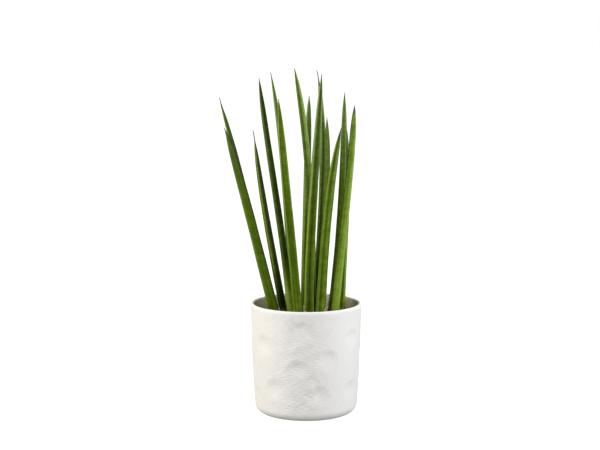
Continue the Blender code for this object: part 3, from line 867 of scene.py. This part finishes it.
def make_rhizome(name, material):
    """The node's box gives the rod: it runs corner to corner of the box, one radius in from the ends, on
    the diagonal that its points follow."""
    low, high = (np.array(corner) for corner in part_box(name))
    rod = (high[2] - low[2]) / 2
    co = np.array([v.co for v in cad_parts[name].data.vertices])
    middle = (low + high) / 2
    rising = np.sum((co[:, 0] - middle[0]) * (co[:, 1] - middle[1])) > 0
    half = (high - low) / 2 - rod
    along = np.array([half[0], half[1] if rising else -half[1], 0.0])
    length = np.linalg.norm(along)
    along = along / length
    across = np.array([-along[1], along[0], 0.0])
    rows, columns = 56, 28
    share = np.linspace(-1, 1, rows)
    reach = (length + rod) * np.sin(share * np.pi / 2 * 0.995)
    past = np.maximum(np.abs(reach) - length, 0)
    radius = np.sqrt(np.maximum(rod ** 2 - past ** 2, 0))
    scar = np.exp(-((reach / 0.0034) % 1 - 0.5) ** 2 / 0.02)
    seed = len(name) + int(name[-1])
    lump = grain((rows, columns), (2 * length, 2 * np.pi * rod), 0.003, 0.009, 1.0, seed)
    radius = radius[:, None] * (0.93 + 0.05 * scar[:, None] + 0.010 * np.clip(lump, -2, 2))
    turn = np.linspace(0, 2 * np.pi, columns, endpoint=False)[None, :, None]
    points = middle + reach[:, None, None] * along
    points = points + radius[..., None] * (np.cos(turn) * across + np.sin(turn) * np.array([0, 0, 1.0]))
    ring = np.broadcast_to(scar[:, None], radius.shape)
    piece = add_tube(name + "_stem", points, material, {"ring": ring})
    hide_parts(name)


rhizome_bark = rhizome_finish()
rhizomes = sorted(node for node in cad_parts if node.startswith("rhizome"))
for name in rhizomes:
    make_rhizome(name, rhizome_bark)
print(f"{len(rhizomes)} rhizomes")

# %% [markdown]
# ## Dry sheaths
#
# A new shoot pushes up through papery scales that dry to brown and split. Each is a thin curved sheet
# that hugs a leaf's foot and narrows to a torn point. A single sheet of points is simpler than a closed
# shell, and Solidify gives it its thickness.

# %% Make the sheaths
# The leaf, the side faced in degrees from +X, and the top in millimetres
SHEATHS = {
    "sheath_1": ("leaf_01", 150, 124.0),
    "sheath_2": ("leaf_02", 345, 131.0),
    "sheath_3": ("leaf_06", 230, 125.5),
    "sheath_4": ("leaf_08", 110, 124.0),
    "sheath_5": ("leaf_10", 195, 135.0),
    "sheath_6": ("leaf_12", 345, 134.0),
    "sheath_7": ("leaf_14", 300, 126.5),
    "sheath_8": ("leaf_15", 10, 125.0),
}
SHEATH_BOTTOM = 0.106
SHEATH_WRAP, SHEATH_POINT = 70, 16


def sheath_finish():
    paint = Finish("dry_sheath_paper")
    place = paint.place()
    fibre = paint.noise(paint.place(stretch=(1800, 1800, 120)), 1.0, 3.0, 0.6)
    stain = paint.noise(place, 220.0, 3.0)
    colour = paint.mix(fibre, (0.30, 0.165, 0.055), (0.74, 0.58, 0.32))
    colour = paint.mix(paint.step(stain, 0.50, 0.70), colour, (0.085, 0.042, 0.020))
    normal = paint.bump(fibre, 0.0003, 0.8)
    return paint.feed(base_color=colour, roughness=0.70 + 0.2 * fibre, normal=normal)


def make_sheath(number, name, material):
    """A sheet over height and angle: it stands clear of the leaf and leans out a little towards its top.
    Its half angle shrinks as the root of one minus the share of the height squared, and its top is
    ragged."""
    leaf, facing, top = SHEATHS[name]
    rows, columns = 34, 26
    share = np.linspace(0, 1, rows)[:, None]
    across = np.linspace(-1, 1, columns)[None, :]
    torn = 1 - (0.14 * np.sin(across * 8 + number) ** 2 + 0.10) * across ** 2 * share
    height = SHEATH_BOTTOM + (top * MM - SHEATH_BOTTOM) * share * torn
    half = SHEATH_POINT + (SHEATH_WRAP - SHEATH_POINT) * np.sqrt(1 - 0.985 * share ** 2)
    turn = np.radians(facing + half * across)
    x, y = leaf_middle(leaf, height)
    crease = 0.00010 * np.sin(across * 14 + number * 2)
    radius = leaf_radius(leaf, height) + 0.00045 + crease + 0.00035 * share ** 2
    points = np.stack([x + radius * np.cos(turn), y + radius * np.sin(turn), height + 0 * turn], axis=-1)
    row, column = np.meshgrid(np.arange(rows - 1), np.arange(columns - 1), indexing="ij")
    start = row * columns + column
    faces = np.stack([start, start + 1, start + columns + 1, start + columns], axis=-1).reshape(-1, 4)
    piece = add_piece(name + "_scale", points, faces.tolist(), material)
    wall = piece.modifiers.new("wall", "SOLIDIFY")
    wall.thickness, wall.offset = 0.00028, 1.0
    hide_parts(name)


sheath_paper = sheath_finish()
for number, name in enumerate(SHEATHS):
    make_sheath(number, name, sheath_paper)
print(f"{len(SHEATHS)} sheaths")
